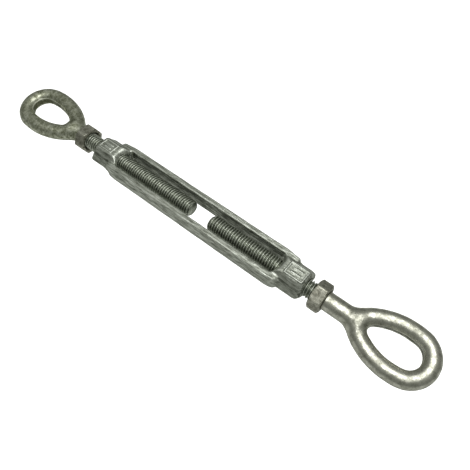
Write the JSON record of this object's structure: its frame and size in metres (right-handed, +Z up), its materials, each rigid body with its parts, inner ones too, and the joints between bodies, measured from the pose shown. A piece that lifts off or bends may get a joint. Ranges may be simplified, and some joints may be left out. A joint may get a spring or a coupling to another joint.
{
  "type": "rigging turnbuckle",
  "caption": "Galvanised forged turnbuckle with an open body, an eye bolt at each end and lock nuts; turning the body draws the eyes together or lets them out to set tension",
  "frame": {"origin": "on the thread axis, half way between the far ends of the two eyes as set", "axes": "X runs along the threads, +X towards the right-hand bolt and its eye; +Z is up, out of the open side of the body; Y runs across the two rails"},
  "size_m": [0.3664, 0.0408, 0.0216],
  "materials": {
    "galvanised_body": "hot-dip galvanised forging, dull grey with a forged grain",
    "galvanised_thread": "hot-dip galvanised cut thread, satin crests and darker roots",
    "galvanised_left_eye": "hot-dip galvanised forging, dull mottled olive grey",
    "galvanised_right_eye": "hot-dip galvanised forging, bright and smooth",
    "galvanised_nut": "hot-dip galvanised hexagon nut, satin"
  },
  "bodies": {
    "body": {"turnbuckle_body": "galvanised_body"},
    "left_shank_body": {"left_shank": "galvanised_thread"},
    "left_eye_body": {"left_eye": "galvanised_left_eye"},
    "left_nut_body": {"left_lock_nut": "galvanised_nut"},
    "right_shank_body": {"right_shank": "galvanised_thread"},
    "right_eye_body": {"right_eye": "galvanised_right_eye"},
    "right_nut_body": {"right_lock_nut": "galvanised_nut"}
  },
  "joints": [
    {"name": "left_thread_travel", "type": "slide", "parent": "body", "child": "left_shank_body", "axis": [-1, 0, 0], "range_m": [-0.004, 0.072]},
    {"name": "left_eye_turn", "type": "hinge", "parent": "left_shank_body", "child": "left_eye_body", "pos_m": [-0.12, 0, 0], "axis": [1, 0, 0], "range_deg": [-730, 13250]},
    {"name": "left_nut_travel", "type": "slide", "parent": "left_eye_body", "child": "left_nut_body", "axis": [1, 0, 0], "range_m": [0, 0.0065]},
    {"name": "right_thread_travel", "type": "slide", "parent": "body", "child": "right_shank_body", "axis": [1, 0, 0], "range_m": [-0.0024, 0.061]},
    {"name": "right_eye_turn", "type": "hinge", "parent": "right_shank_body", "child": "right_eye_body", "pos_m": [0.11, 0, 0], "axis": [1, 0, 0], "range_deg": [-440, 11230]},
    {"name": "right_nut_travel", "type": "slide", "parent": "right_eye_body", "child": "right_nut_body", "axis": [-1, 0, 0], "range_m": [0, 0.0028]}
  ],
  "couplings": [
    {"joint": "left_thread_travel", "follows": "left_eye_turn", "m_per_rad": 0.00031096},
    {"joint": "right_thread_travel", "follows": "right_eye_turn", "m_per_rad": 0.00031096}
  ]
}
